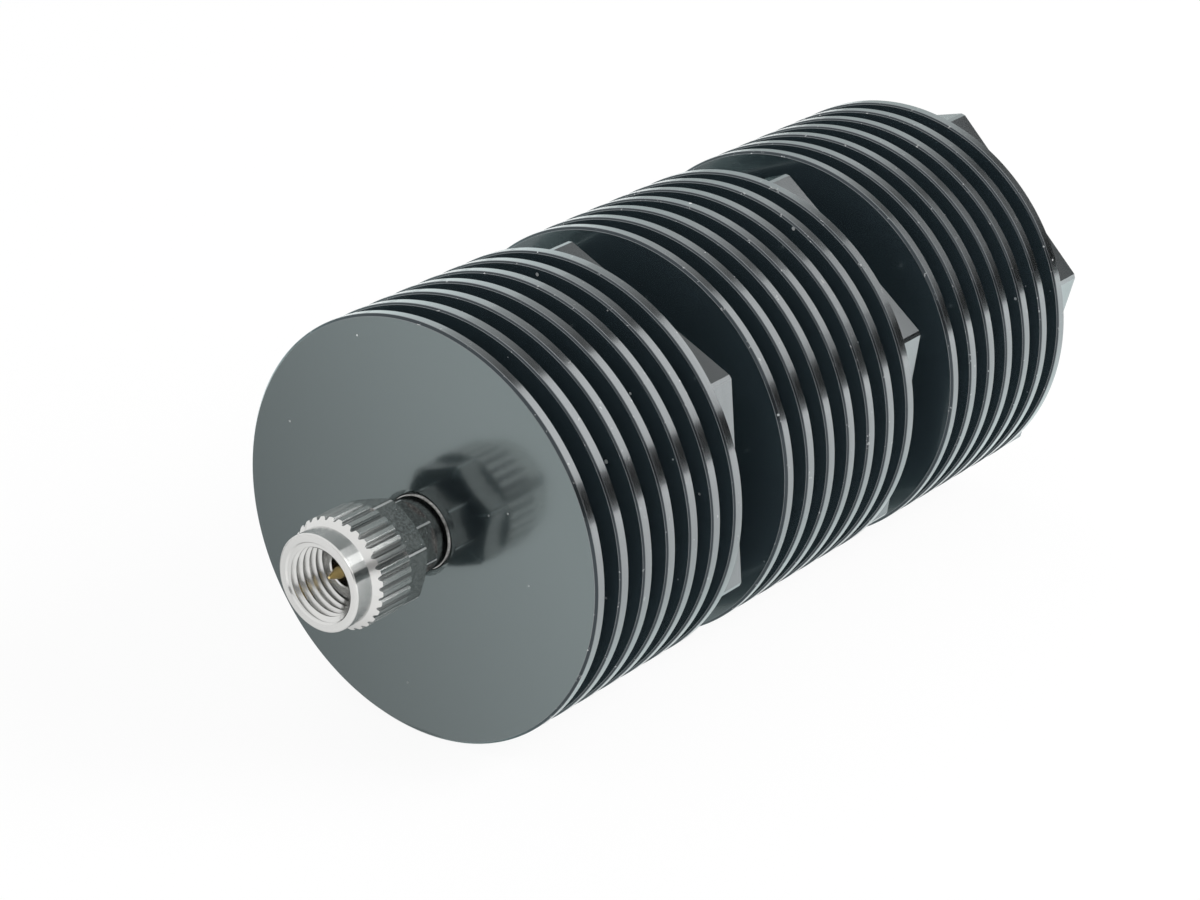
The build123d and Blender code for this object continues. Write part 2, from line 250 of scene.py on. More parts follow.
def turned_piece_tree():
    """Turns a profile round the line's axis, and cuts its hexagon, knurl and thread.

    The profile's points hold (radius, place along the axis) and say which rule cuts them.
    """
    tree, given, result = new_tree(
        "turned_piece",
        "GeometryNodeTree",
        {
            "Profile": "NodeSocketGeometry",
            **TURNED_SIZES,
            "Material": "NodeSocketMaterial",
            "Milled Material": "NodeSocketMaterial",
        },
        {"Geometry": "NodeSocketGeometry"},
    )
    m = partial(sum_up, tree)
    profile = given["Profile"]
    steps = given["Steps Round"]
    columns = m("ADD", steps, 1)
    size = add_node(
        tree, "GeometryNodeAttributeDomainSize", {"Geometry": profile}, component="MESH"
    )
    rows = output(size, "Point Count")
    counts = {"Size X": 1, "Size Y": 1, "Vertices X": rows, "Vertices Y": columns}
    grid = add_node(tree, "GeometryNodeMeshGrid", counts)
    index = output(add_node(tree, "GeometryNodeInputIndex"))

    def row_of(items):
        return m("FLOOR", m("DIVIDE", m("ADD", index, 0.5), items))

    row = row_of(columns)
    column = m("SUBTRACT", index, m("MULTIPLY", row, columns))

    def from_profile(value, row=row, data_type="FLOAT"):
        inputs = {"Geometry": profile, "Value": value, "Index": row}
        settings = {"data_type": data_type, "domain": "POINT"}
        return output(add_node(tree, "GeometryNodeSampleIndex", inputs, **settings))

    def named(name):
        node = add_node(tree, "GeometryNodeInputNamedAttribute", {"Name": name}, data_type="FLOAT")
        return output(node, "Attribute")

    def marked(name, row=row):
        return from_profile(named(name), row)

    def only_on(name, limit):
        """A limit for the marked rows, which is out of reach on the others."""
        return m("ADD", limit, m("SUBTRACT", 1, marked(name)))

    place = output(add_node(tree, "GeometryNodeInputPosition"))
    place = from_profile(place, data_type="FLOAT_VECTOR")
    radius, along, _ = add_node(tree, "ShaderNodeSeparateXYZ", {0: place}).outputs

    # The steps round, slid so that some of them lie on the edges of the six corner lands
    share_round = m("DIVIDE", column, steps)
    sixths = m("MULTIPLY", share_round, 6)
    side = m("SUBTRACT", m("MULTIPLY", m("FRACT", sixths), 2), 1)
    from_corner = m("ABSOLUTE", side)
    land, share = given["Land Angle"], given["Land Share"]
    on_land = spread(tree, from_corner, 0, land, 0, share)
    off_land = spread(tree, from_corner, 0, m("SUBTRACT", SIXTH / 2, land), share, 1)
    offset = m("MULTIPLY", m("SIGN", side), m("ADD", on_land, off_land))
    angle = m("ADD", m("MULTIPLY", m("FLOOR", sixths), SIXTH), offset)
    angle = m("ADD", angle, given["Start Angle"])

    # Hexagon
    corner = m("FLOORED_MODULO", m("SUBTRACT", angle, given["Hexagon Corner Angle"]), SIXTH)
    from_flat = m("SUBTRACT", corner, SIXTH / 2)
    flat = m("SUBTRACT", m("DIVIDE", given["Hexagon Across Flats"], 2), marked("inset"))
    flat = m("DIVIDE", flat, m("COSINE", from_flat))
    limit = m("MINIMUM", m("ADD", radius, marked("rise")), only_on("hexagon", flat))

    # Knurl of round-bottomed grooves, with soft crests
    spacing = m("DIVIDE", 2 * pi, given["Knurl Count"])
    half = m("DIVIDE", spacing, 2)
    from_groove = m("SUBTRACT", m("FLOORED_MODULO", angle, spacing), half)
    from_groove = m("SUBTRACT", half, m("ABSOLUTE", from_groove))
    across = m("MULTIPLY", from_groove, given["Knurl Radius"])
    depth = given["Knurl Groove Radius"]
    bottom, crest = m("MULTIPLY", depth, 0.25), m("MULTIPLY", depth, 1.25)
    cut = spread(tree, across, depth, 0, bottom, crest, interpolation_type="SMOOTHSTEP")
    groove = m("SUBTRACT", given["Knurl Radius"], cut)
    limit = m("MINIMUM", limit, only_on("knurl", groove))

    # Cones end where they meet the hexagon or the knurl
    inwards = m("MULTIPLY", m("SUBTRACT", limit, radius), marked("back"))
    cut_radius = m("SUBTRACT", limit, inwards)
    climb = m("MULTIPLY", m("SUBTRACT", cut_radius, radius), marked("slope"))
    radius, along = cut_radius, m("ADD", along, climb)

    # Right-hand thread: its rows climb along the axis as they go round
    thread = marked("thread")
    start, pitch = given["Thread Start"], given["Thread Pitch"]
    turn = m("SUBTRACT", marked("turns"), share_round)
    climbed = m("ADD", start, m("MULTIPLY", turn, pitch))
    climbed = m("MINIMUM", m("MAXIMUM", climbed, start), given["Thread End"])
    phase = m("ADD", m("DIVIDE", m("SUBTRACT", climbed, start), pitch), share_round)
    wave = m("ABSOLUTE", m("SUBTRACT", m("MULTIPLY", m("FRACT", phase), 2), 1))
    crest, root = given["Thread Crest Radius"], given["Thread Root Radius"]
    flank = spread(tree, wave, crest, root, given["Crest Share"], given["Root Share"])

    def blend(plain, threaded):
        return m("ADD", plain, m("MULTIPLY", m("SUBTRACT", threaded, plain), thread))

    radius = blend(radius, flank)
    along = blend(along, climbed)

    x, z = m("MULTIPLY", radius, m("COSINE", angle)), m("MULTIPLY", radius, m("SINE", angle))
    position = output(add_node(tree, "ShaderNodeCombineXYZ", {0: x, 1: along, 2: z}))
    placed = {"Geometry": output(grid), "Position": position}
    geometry = output(add_node(tree, "GeometryNodeSetPosition", placed))

    # What the finish needs to know of each point and of each ring of faces
    def store(name, value, domain):
        inputs = {"Geometry": geometry, "Name": name, "Value": value}
        settings = {"data_type": "FLOAT", "domain": domain}
        return output(add_node(tree, "GeometryNodeStoreNamedAttribute", inputs, **settings))

    # Painted shade: the knurl's grooves get darker with their depth
    grime = m("MULTIPLY", m("DIVIDE", cut, depth), marked("grime"))
    geometry = store("painted_recess_shade", grime, "POINT")
    # Painted highlight: a thin light line along each hexagon corner
    corner_highlight_line = m("GREATER_THAN", m("ABSOLUTE", from_flat), SIXTH / 2 - CORNER_HIGHLIGHT_ANGLE)
    geometry = store("corner", m("MULTIPLY", corner_highlight_line, marked("hexagon")), "POINT")
    face_row = row_of(steps)
    for name in ("lightness", "dull", "bevel", "edge", "milled"):
        geometry = store(name, marked(name, face_row), "FACE")

    closed = {"Geometry": geometry, "Distance": SAME_PLACE}
    geometry = output(add_node(tree, "GeometryNodeMergeByDistance", closed))
    bend = output(add_node(tree, "GeometryNodeInputMeshEdgeAngle"), "Unsigned Angle")
    soft = m("LESS_THAN", bend, given["Sharp Angle"])
    for is_smooth, domain in ((True, "FACE"), (soft, "EDGE")):
        inputs = {"Geometry": geometry, "Shade Smooth": is_smooth}
        geometry = output(add_node(tree, "GeometryNodeSetShadeSmooth", inputs, domain=domain))
    geometry = output(add_node(tree, "GeometryNodeRealizeInstances", {"Geometry": geometry}))
    is_milled = m("GREATER_THAN", named("milled"), 0.5)
    for label, selection in (("Material", True), ("Milled Material", is_milled)):
        inputs = {"Geometry": geometry, "Selection": selection, "Material": given[label]}
        geometry = output(add_node(tree, "GeometryNodeSetMaterial", inputs))
    connect(tree, geometry, result["Geometry"])
    return tree


MARKS = (
    *("hexagon", "inset", "knurl", "rise", "back", "slope", "thread", "turns"),
    *("lightness", "dull", "bevel", "grime", "edge", "milled"),
)


def point(radius, along, **marks):
    """One point of a profile: its radius, its place along the axis and its marks."""
    return radius, along, marks


def straight(radius, start, end, **marks):
    """The two ends of a plain cylinder."""
    return [point(radius, start, **marks), point(radius, end, **marks)]


def rounded(radius_from, along_from, radius_to, along_to, cuts=3, **marks):
    """Points of a rounded rim from one point to another.

    It leaves the first point square to the axis if it goes outwards, else along it.
    """
    points = []
    outwards = radius_to > radius_from
    for step in range(cuts + 1):
        turn = step / cuts * pi / 2
        r_share, y_share = (sin(turn), 1 - cos(turn)) if outwards else (1 - cos(turn), sin(turn))
        radius = radius_from + (radius_to - radius_from) * r_share
        along = along_from + (along_to - along_from) * y_share
        points.append(point(radius, along, **(marks if step < cuts else {})))
    return points


def cone(inner, inner_along, outer, outer_along, cuts, **marks):
    """Points of a cone, from its inner end to wherever the hexagon or the knurl cuts it off."""
    slope = (outer_along - inner_along) / (outer - inner)
    return [
        point(inner, inner_along, rise=outer - inner, back=1 - step / cuts, slope=slope, **marks)
        for step in range(cuts + 1)
    ]


def thread_points(start, end, sizes):
    """Rows at the edges of each thread's crest and root, from start to end."""
    turns = ceil((end - start) / sizes.thread_pitch) + 1
    shares = [TURNED_SIZES[label] for label in ("Crest Share", "Root Share")]
    offsets = sorted((1 + sign * share) / 2 for sign in (-1, 1) for share in shares)
    rows = [turn + offset for turn in range(turns) for offset in offsets]
    return [point(0, 0, thread=1, turns=row) for row in [0, *rows, turns]]


def hexagon_sizes(across_flats, across_corners, turn, land_share=0.25):
    """What a hexagon with rounded corners asks of a turned piece."""
    return {
        "Start Angle": turn,
        "Land Angle": SIXTH / 2 - acos(across_flats / across_corners),
        "Land Share": land_share,
        "Hexagon Across Flats": across_flats,
        "Hexagon Corner Angle": turn,
    }


def thread_sizes(start, end, sizes, is_outer):
    """What a coupling thread asks of a turned piece."""
    wide = sizes.thread_diameter / 2
    narrow = wide - sizes.thread_depth
    return {
        "Thread Start": start,
        "Thread End": end,
        "Thread Pitch": sizes.thread_pitch,
        "Thread Root Radius": narrow if is_outer else wide,
        "Thread Crest Radius": wide if is_outer else narrow,
    }


def turned_piece(name, body, nodes, slot_name, points, material, milled=None, closed=True, **sizes):
    """Makes one turned piece in the CAD's frame, and hides the CAD nodes that it stands for.

    Its wrench flats take the milled material, if there is one.
    """
    if closed:
        points = [*points, points[0]]
    mesh = bpy.data.meshes.new(name)
    mesh.from_pydata([(radius, along, 0) for radius, along, _ in points], [], [])
    for mark in MARKS:
        values = mesh.attributes.new(mark, "FLOAT", "POINT")
        values.data.foreach_set("value", [marks.get(mark, 0.0) for _, _, marks in points])
    piece = new_object(name, mesh)

    tree = bpy.data.node_groups.get("turned_piece") or turned_piece_tree()
    modifier = piece.modifiers.new("Turn", "NODES")
    modifier.node_group = tree
    sockets = {
        item.name: item.identifier
        for item in tree.interface.items_tree
        if item.item_type == "SOCKET" and item.in_out == "INPUT"
    }
    sizes |= {"Material": material, "Milled Material": milled or material}
    for label, value in sizes.items():
        modifier[sockets[label]] = value

    graph = bpy.context.evaluated_depsgraph_get()
    made = bpy.data.meshes.new_from_object(
        piece.evaluated_get(graph), preserve_all_data_layers=True, depsgraph=graph
    )
    piece.modifiers.remove(modifier)
    piece.data = made
    made.name = name
    bpy.data.meshes.remove(mesh)

    shell = bmesh.new()
    shell.from_mesh(made)
    bmesh.ops.recalc_face_normals(shell, faces=shell.faces)
    if shell.calc_volume(signed=True) < 0:
        bmesh.ops.reverse_faces(shell, faces=shell.faces)
    shell.to_mesh(made)
    shell.free()

    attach(piece, body)
    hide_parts(*nodes)
    return piece


# Effects that several finishes share


def effect_tree(name, inputs, *outputs):
    """A shared effect's node group, its sockets, its math and the place on the object."""
    outputs = dict.fromkeys(outputs, "NodeSocketFloat")
    tree, given, result = new_tree(name, "ShaderNodeTree", inputs, outputs)
    place = add_node(tree, "ShaderNodeTexCoord").outputs["Object"]
    return tree, given, result, partial(sum_up, tree), place


def noise(tree, vector, scale, detail, roughness=0.5):
    """A noise around 0.5."""
    inputs = {"Vector": vector, "Scale": scale, "Detail": detail, "Roughness": roughness}
    return add_node(tree, "ShaderNodeTexNoise", inputs).outputs[0]


def turning_marks_group(name):
    """Fine rings left by the lathe, from the distance to the axis and the place along it."""
    inputs = {"Spacing": 0.0001, "Waver": 1.0}
    tree, given, result, m, place = effect_tree(name, inputs, "Height", "Tone")
    x, y, z = add_node(tree, "ShaderNodeSeparateXYZ", {0: place}).outputs
    radius = m("SQRT", m("ADD", m("MULTIPLY", x, x), m("MULTIPLY", z, z)))
    outwards = m("DIVIDE", radius, given["Spacing"])
    along = m("DIVIDE", y, given["Spacing"])
    round_axis = m("MULTIPLY", m("SINE", m("ARCTAN2", z, x)), given["Waver"])
    rings = {0: outwards, 1: along, 2: round_axis}
    rings = add_node(tree, "ShaderNodeCombineXYZ", rings).outputs[0]
    fine = noise(tree, rings, 1.0, 2.0, 0.6)
    wide = noise(tree, rings, 0.13, 1.0)
    connect(tree, fine, result["Height"])
    connect(tree, m("ADD", m("MULTIPLY", fine, 0.5), m("MULTIPLY", wide, 0.5)), result["Tone"])
    return tree


def dust_specks_group(name):
    """Small scattered specks of dust: a mask."""
    inputs = {"Spacing": 0.002, "Share": 0.2, "Size": 0.05}
    tree, given, result, m, place = effect_tree(name, inputs, "Mask")
    cells = {"Vector": place, "Scale": m("DIVIDE", 1, given["Spacing"])}
    cells = add_node(tree, "ShaderNodeTexVoronoi", cells).outputs
    tint = add_node(tree, "ShaderNodeSeparateColor", {0: cells["Color"]}).outputs
    chosen = m("LESS_THAN", tint[0], given["Share"])
    reach = m("MULTIPLY", given["Size"], m("ADD", 0.3, tint[1]))
    near = m("LESS_THAN", cells["Distance"], reach)
    connect(tree, m("MULTIPLY", chosen, near), result["Mask"])
    return tree


def edge_wear_group(name):
    """Nicks along the rims, where the coat is rubbed through: a mask."""
    inputs = {"Edge": 0.0, "Amount": 0.4, "Spacing": 0.0015}
    tree, given, result, m, place = effect_tree(name, inputs, "Mask")
    patches = noise(tree, place, m("DIVIDE", 1, given["Spacing"]), 3.0, 0.7)
    worn = m("GREATER_THAN", patches, m("SUBTRACT", 0.82, m("MULTIPLY", given["Amount"], 0.3)))
    connect(tree, m("MULTIPLY", worn, given["Edge"]), result["Mask"])
    return tree


def smudges_group(name):
    """Broad, faint unevenness of a handled surface."""
    tree, given, result, m, place = effect_tree(name, {"Spacing": 0.006}, "Tone")
    tone = noise(tree, place, m("DIVIDE", 1, given["Spacing"]), 4.0, 0.55)
    connect(tree, tone, result["Tone"])
    return tree


EFFECTS = {
    "turning_marks": turning_marks_group,
    "dust_specks": dust_specks_group,
    "edge_wear": edge_wear_group,
    "smudges": smudges_group,
}


def effect(tree, name, **inputs):
    """Places one of the shared effects in a material, and gives its outputs."""
    group = bpy.data.node_groups.get(name) or EFFECTS[name](name)
    node = add_node(tree, "ShaderNodeGroup", node_tree=group)
    for label, value in inputs.items():
        connect(tree, value, node.inputs[label.replace("_", " ").title()])
    return node.outputs


def new_material(name):
    """An empty material with its Principled shader."""
    material = bpy.data.materials.new(name)
    material.use_nodes = True
    tree = material.node_tree
    return material, tree, tree.nodes["Principled BSDF"]


def mixed(tree, factor, first, second, blend_type="MIX"):
    """A colour mix."""
    node = add_node(tree, "ShaderNodeMix", data_type="RGBA", blend_type=blend_type)
    connect(tree, factor, node.inputs["Factor"])
    connect(tree, first, node.inputs[6])
    connect(tree, second, node.inputs[7])
    return node.outputs[2]


def rgba(value, level=1.0):
    """A colour at some level, with its alpha."""
    return (*(channel * level for channel in value), 1.0)


def attribute(tree, name):
    """A mark of the mesh, as a value."""
    return add_node(tree, "ShaderNodeAttribute", attribute_name=name).outputs["Fac"]


def link_finish(tree, shader, base, roughness, metal, relief):
    """Links a finish to its shader, with fine relief: its strength, its depth and its height."""
    relief = dict(zip(("Strength", "Distance", "Height"), relief))
    bump = output(add_node(tree, "ShaderNodeBump", relief))
    links = {"Base Color": base, "Roughness": roughness, "Metallic": metal, "Normal": bump}
    for label, value in links.items():
        connect(tree, value, shader.inputs[label])


BARE_ALUMINIUM = (0.62, 0.63, 0.63, 1)
DUST = (0.75, 0.76, 0.76, 1)
# Dark grey of the painted shade in the knurl's grooves
GROOVE_SHADE_GREY = (0.1, 0.1, 0.1, 1)
# Light steel of the bright pits and of the corners' painted highlight
PIT_AND_HIGHLIGHT_STEEL = (0.65, 0.66, 0.66, 1)


def anodised_material():
    """Black anodised aluminium: turned faces, lighter rims and flats, rubbed edges and dust."""
    colours = bpy.context.scene.attenuator.colours
    material, tree, shader = new_material("black_anodised")
    m = partial(sum_up, tree)
    names = ("lightness", "dull", "bevel", "edge")
    lightness, dull, bevel, edge = (attribute(tree, name) for name in names)
    marks = effect(tree, "turning_marks", spacing=0.00011, waver=0.8)
    tone = effect(tree, "smudges", spacing=0.007)["Tone"]

    # A dark, glossy coat on the turned faces, duller in the grooves. Rims and flats shine like
    # metal, in a lighter copy of the coat's colour that is painted light
    # The grooves' lighter colour is painted light, lifting the shade between the fins
    base = mixed(tree, dull, rgba(colours.anodised_face), rgba(colours.anodised_groove))
    base = mixed(tree, lightness, base, rgba(colours.anodised_rim))
    base = mixed(tree, bevel, base, rgba(colours.anodised_bevel))
    shade = m("MULTIPLY", spread(tree, marks["Tone"], 0.88, 1.12), spread(tree, tone, 0.96, 1.04))
    shade = add_node(tree, "ShaderNodeCombineColor", {0: shade, 1: shade, 2: shade}).outputs[0]
    base = mixed(tree, 1.0, base, shade, "MULTIPLY")
    worn = effect(tree, "edge_wear", edge=edge, amount=0.5, spacing=0.0006)["Mask"]
    base = mixed(tree, worn, base, BARE_ALUMINIUM)
    dust = effect(tree, "dust_specks", spacing=0.0022, share=0.5, size=0.06)["Mask"]
    dust = m("MULTIPLY", dust, settled_dust(tree))
    base = mixed(tree, dust, base, DUST)

    metal = m("MAXIMUM", m("MAXIMUM", lightness, bevel), worn)
    metal = m("MULTIPLY", metal, spread(tree, dust, 1, 0))
    roughness = spread(tree, m("MAXIMUM", dull, lightness), 0.15, 0.2)
    roughness = m("MULTIPLY", roughness, spread(tree, tone, 0.85, 1.15))
    link_finish(tree, shader, base, roughness, metal, (0.05, 0.01 * MM, marks["Height"]))
    shader.inputs["IOR"].default_value = 2.42
    shader.inputs["Specular Tint"].default_value = (0.8, 1, 1, 1)
    connect(tree, spread(tree, bevel, 1.0, 0.25), shader.inputs["Coat Weight"])
    shader.inputs["Coat Roughness"].default_value = 0.08
    return material


def settled_dust(tree):
    """More of the dust lies on the upper side than below: a share from 0.2 to 1."""
    place = add_node(tree, "ShaderNodeTexCoord").outputs["Object"]
    height = add_node(tree, "ShaderNodeSeparateXYZ", {0: place}).outputs[2]
    return spread(tree, height, 0.2, 1, -0.004, 0.012)


def turned_steel_material(name, level, roughness):
    """Turned stainless steel, whose fine rings stretch each highlight along the axis."""
    colours = bpy.context.scene.attenuator.colours
    material, tree, shader = new_material(name)
    marks = effect(tree, "turning_marks", spacing=0.00006, waver=0.0)
    tone = effect(tree, "smudges", spacing=0.0015)["Tone"]
    dark, light = (rgba(colours.stainless, level * share) for share in (0.93, 1.04))
    base = mixed(tree, marks["Tone"], dark, light)
    # Painted shade in the knurl's grooves: the steel turns dark grey with their depth
    painted_recess_shade = sum_up(tree, "MULTIPLY", attribute(tree, "painted_recess_shade"), 0.6)
    base = mixed(tree, painted_recess_shade, base, GROOVE_SHADE_GREY)
    roughness = spread(tree, tone, roughness * 0.85, roughness * 1.15)
    link_finish(tree, shader, base, roughness, 1.0, (0.1, 0.01 * MM, marks["Height"]))
    shader.inputs["Anisotropic"].default_value = 1.0
    shader.inputs["Anisotropic Rotation"].default_value = 0.25
    rings = add_node(tree, "ShaderNodeTangent", direction_type="RADIAL", axis="Y")
    connect(tree, output(rings), shader.inputs["Tangent"])
    return material


def milled_steel_material(name, level):
    """Milled stainless wrench flats: smooth, with bright pits, and a painted highlight along their
    corners.
    """
    colours = bpy.context.scene.attenuator.colours
    material, tree, shader = new_material(name)
    tone = effect(tree, "smudges", spacing=0.0012)["Tone"]
    grain = spread(tree, effect(tree, "smudges", spacing=0.0002)["Tone"], 0, 1, 0.35, 0.7)
    dark, light = (rgba(colours.stainless, level * share) for share in (0.7, 1.5))
    base = mixed(tree, grain, dark, light)
    specks = effect(tree, "dust_specks", spacing=0.0005, share=0.3, size=0.07)["Mask"]
    # Bright pits, and the painted highlight along the corners
    bright = sum_up(tree, "MAXIMUM", specks, attribute(tree, "corner"))
    base = mixed(tree, bright, base, PIT_AND_HIGHLIGHT_STEEL)
    roughness, metal = spread(tree, tone, 0.15, 0.3), spread(tree, bright, 1.0, 0.3)
    link_finish(tree, shader, base, roughness, metal, (0.1, 0.02 * MM, tone))
    return material


def steel_materials():
    """The connector bodies' turned and milled steel, which they share."""
    turned, milled = "turned_stainless", "milled_stainless_painted_shade"
    return (
        bpy.data.materials.get(turned) or turned_steel_material(turned, 0.9, 0.15),
        # The bodies' flats, shank and flange chamfer take the steel at 0.3 of its colour, darker
        # than the nut's flats: painted shade
        bpy.data.materials.get(milled) or milled_steel_material(milled, 0.3),
    )


def plain_metal_material(name, tint, roughness, spacing):
    """A turned soft metal: gold plate, spring bronze or bare aluminium."""
    material, tree, shader = new_material(name)
    marks = effect(tree, "turning_marks", spacing=spacing, waver=1.0)
    tone = effect(tree, "smudges", spacing=0.002)["Tone"]
    base = mixed(tree, marks["Tone"], rgba(tint, 0.9), rgba(tint, 1.08))
    roughness = spread(tree, tone, roughness * 0.8, roughness * 1.3)
    link_finish(tree, shader, base, roughness, 1.0, (0.2, 0.01 * MM, marks["Height"]))
    return material


def gold_material():
    """The gold plate that the pins and contacts share."""
    name = "gold_plate"
    gold = bpy.context.scene.attenuator.colours.gold
    return bpy.data.materials.get(name) or plain_metal_material(name, gold, 0.3, 0.00004)


def moulded_material(name, tint, roughness, grain):
    """Insulating plastic or fired ceramic, with its fine grain."""
    material, tree, shader = new_material(name)
    tone = effect(tree, "smudges", spacing=grain)["Tone"]
    base = mixed(tree, tone, rgba(tint, 0.88), rgba(tint, 1.1))
    roughness = spread(tree, tone, roughness * 0.85, roughness * 1.2)
    link_finish(tree, shader, base, roughness, 0.0, (0.3, 0.02 * MM, tone))
    return material


# Profiles of the turned pieces, in metres

HOLE_RADIUS = 3.5 * MM
HOLE_DEPTH = 1.0 * MM
END_WALL = 4.0 * MM
BODY_THREAD_RADIUS = 2.75 * MM
BORE_RADIUS = 6.5 * MM
JOINT_RADIUS = 8.0 * MM
JOINT_DEPTH = 4.2 * MM
JOINT_LENGTH = 4.0 * MM
STAGE_GAP = 3.5 * MM
COLLAR_TURNS = (34.2, 21.2, 14.2)
FLANGE_RADIUS = 3.15 * MM
FLANGE_RECESS = 0.15 * MM
FLANGE_EDGE = 0.1 * MM
SHANK_RADIUS = 3.0 * MM
SHANK_LENGTH = 1.25 * MM
AIR_RADIUS = 1.46 * MM
AIR_PIN_RADIUS = 0.635 * MM
BEAD_NECK_RADIUS = 0.5 * MM
CONTACT_RADIUS = 0.82 * MM
CARD_LINE_RADIUS = 1.9 * MM
JOURNAL_RADIUS = 2.62 * MM
INPUT_BEAD_FRONT = FRONT_FACE - 1.0 * MM
BEAD_LENGTH = 1.8 * MM

NUT_MOUTH = 0.115 * MM
NUT_THREAD_BACK = NUT_FRONT + 4.5 * MM
OUTPUT_THREAD_FRONT = REAR_FACE + 4.1 * MM
OUTPUT_THREAD_BACK = OUTPUT_END - 0.35 * MM

# Each wrench hexagon's size across flats and across its rounded corners, and the turn of a corner
INPUT_HEXAGON = (5.5 * MM, 6.1 * MM, radians(41))
OUTPUT_HEXAGON = (7 * MM, 7.8 * MM, radians(20))


def end_wall(face, inwards):
    """From the bore through an end wall: its thread, then the wider hole for the flange."""
    return [
        point(BORE_RADIUS, face + inwards * END_WALL),
        *straight(BODY_THREAD_RADIUS, face + inwards * END_WALL, face + inwards * HOLE_DEPTH),
        *straight(HOLE_RADIUS, face + inwards * HOLE_DEPTH, face),
    ]


def radiator_profile(stage, sizes):
    """The outline of one radiator: fins, wrench collar, boss, bore and end wall."""
    rim = sizes.fin_diameter / 2
    root = sizes.root_diameter / 2
    back = RADIATOR_BACKS[stage]
    fins_length = (sizes.fin_count - 1) * sizes.fin_pitch + sizes.fin_thickness
    face = back - sizes.collar_length - fins_length
    if stage == 0:
        points = end_wall(face, 1)
    else:
        points = [
            point(BORE_RADIUS, face - STAGE_GAP - JOINT_LENGTH),
            *straight(JOINT_RADIUS, face - STAGE_GAP - JOINT_LENGTH, face - STAGE_GAP),
            *straight(sizes.neck_diameter / 2, face - STAGE_GAP, face, dull=1),
        ]

    for fin in range(sizes.fin_count):
        front = face + fin * sizes.fin_pitch
        rear = front + sizes.fin_thickness
        edge, burr = sizes.fin_edge if fin else sizes.face_edge, sizes.burr
        if fin:
            points.append(point(root, front, dull=1))
        # Burr, chamfer and rim take the rims' lighter colour: painted light
        points += [
            point(rim - edge - burr, front, lightness=0.8, edge=1),
            point(rim - edge, front + burr * 0.5, bevel=1, edge=0.5),
            point(rim - burr, front + edge, lightness=1, edge=0.5),
            point(rim, front + edge + burr, lightness=1, edge=0.4),
        ]
        if fin < sizes.fin_count - 1:
            points += [point(rim, rear - burr, edge=1), point(rim - burr, rear, dull=1)]
            points.append(point(root, rear, dull=1))
        else:
            points.append(point(rim, rear))

    collar_front = face + fins_length
    edge = sizes.collar_edge
    points += [
        point(rim, collar_front, hexagon=1, lightness=1.0),
        point(rim, back - edge, hexagon=1, lightness=1.0, edge=1),
        point(rim - edge, back, hexagon=1, inset=edge, dull=1),
    ]
    if stage < len(STAGES) - 1:
        points += straight(JOINT_RADIUS, back, back - JOINT_DEPTH)
        points.append(point(BORE_RADIUS, back - JOINT_DEPTH))
    else:
        points += reversed(end_wall(back, -1))
    return points


def nut_profile(sizes):
    """The coupling nut: mouth, nose, knurl and hexagon outside, ring groove and thread inside."""
    nose = sizes.nose_diameter / 2
    knurl = sizes.knurl_diameter / 2
    thread = sizes.thread_diameter / 2
    nose_edge, knurl_bevel = 0.15 * MM, 0.57 * MM
    flats, corner, bevel = sizes.nut_across_flats / 2, 4.475 * MM, 0.3 * MM
    bore, ring_groove, relief = 2.67 * MM, 3.05 * MM, 3.3 * MM
    knurl_front = NUT_FRONT + 1.65 * MM
    knurl_full = knurl_front + knurl_bevel
    hex_front = NUT_BACK - 2.3 * MM
    groove_back, groove_front = NUT_BACK - 1.15 * MM, NUT_BACK - 1.8 * MM
    relief_back = NUT_THREAD_BACK + 0.6 * MM
    return [
        point(thread + NUT_MOUTH, NUT_FRONT),
        *rounded(nose - nose_edge, NUT_FRONT, nose, NUT_FRONT + nose_edge, edge=1),
        *cone(nose, knurl_front, knurl, knurl_full, 8, knurl=1),
        *straight(knurl, knurl_full + 0.02 * MM, hex_front, knurl=1, grime=1),
        point(corner, hex_front, hexagon=1, milled=1),
        *reversed(cone(flats, NUT_BACK, corner, NUT_BACK - bevel, 4, hexagon=1, milled=1)),
        *straight(bore, NUT_BACK, groove_back),
        *straight(ring_groove, groove_back, groove_front),
        *straight(bore, groove_front, relief_back),
        *straight(relief, relief_back, NUT_THREAD_BACK),
        *reversed(thread_points(NUT_FRONT + NUT_MOUTH, NUT_THREAD_BACK, sizes)),
        point(thread, NUT_FRONT + NUT_MOUTH),
    ]


